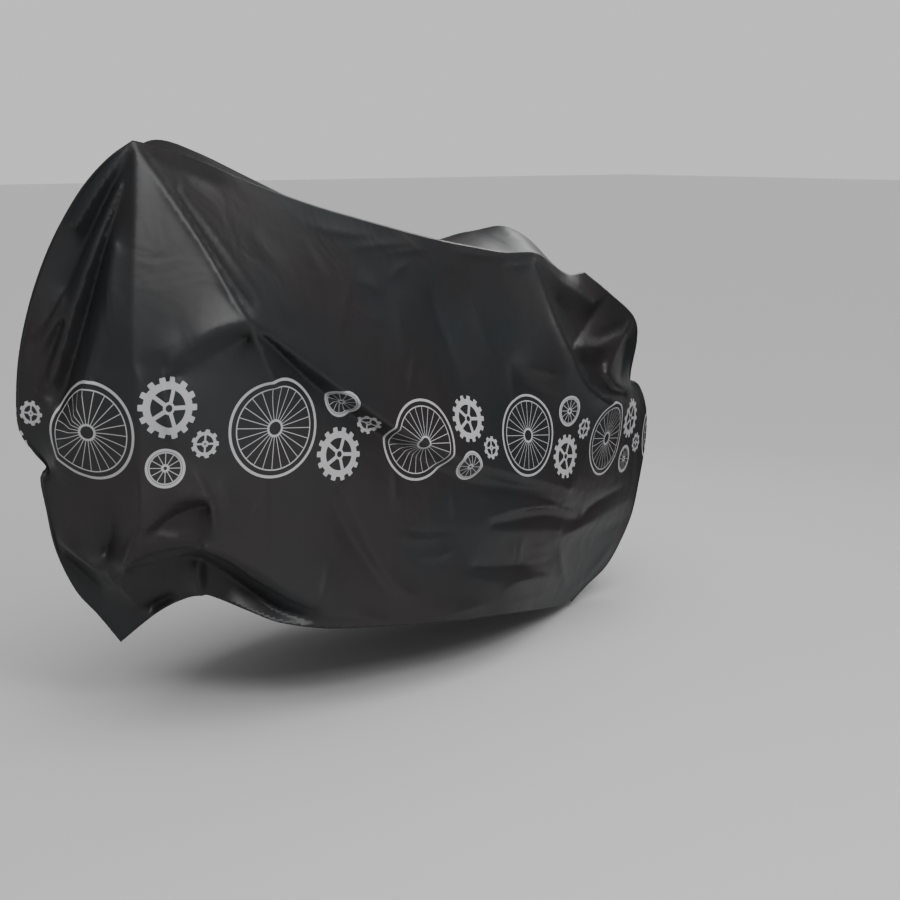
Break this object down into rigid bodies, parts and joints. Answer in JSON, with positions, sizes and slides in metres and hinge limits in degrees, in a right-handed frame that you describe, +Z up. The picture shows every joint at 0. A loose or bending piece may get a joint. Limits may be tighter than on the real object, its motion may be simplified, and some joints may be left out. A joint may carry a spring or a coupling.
{
  "type": "bicycle cover",
  "caption": "Thin film cover draped over a parked bicycle: two side panels joined along the top, hollow and open at the bottom.",
  "frame": {"origin": "under the top of the cloth where it lies on the saddle", "axes": "+X to the rear of the covered bicycle, -Y to its left side, +Z up"},
  "size_m": [1.6857, 0.6393, 1.1207],
  "materials": {
    "left_panel_film": "charcoal black plastic film cloth, satin, with a silver-grey printed band",
    "right_panel_film": "charcoal black plastic film cloth, satin, with a silver-grey printed band"
  },
  "bodies": {
    "root": {"left_panel": "left_panel_film", "right_panel": "right_panel_film"}
  },
  "joints": []
}
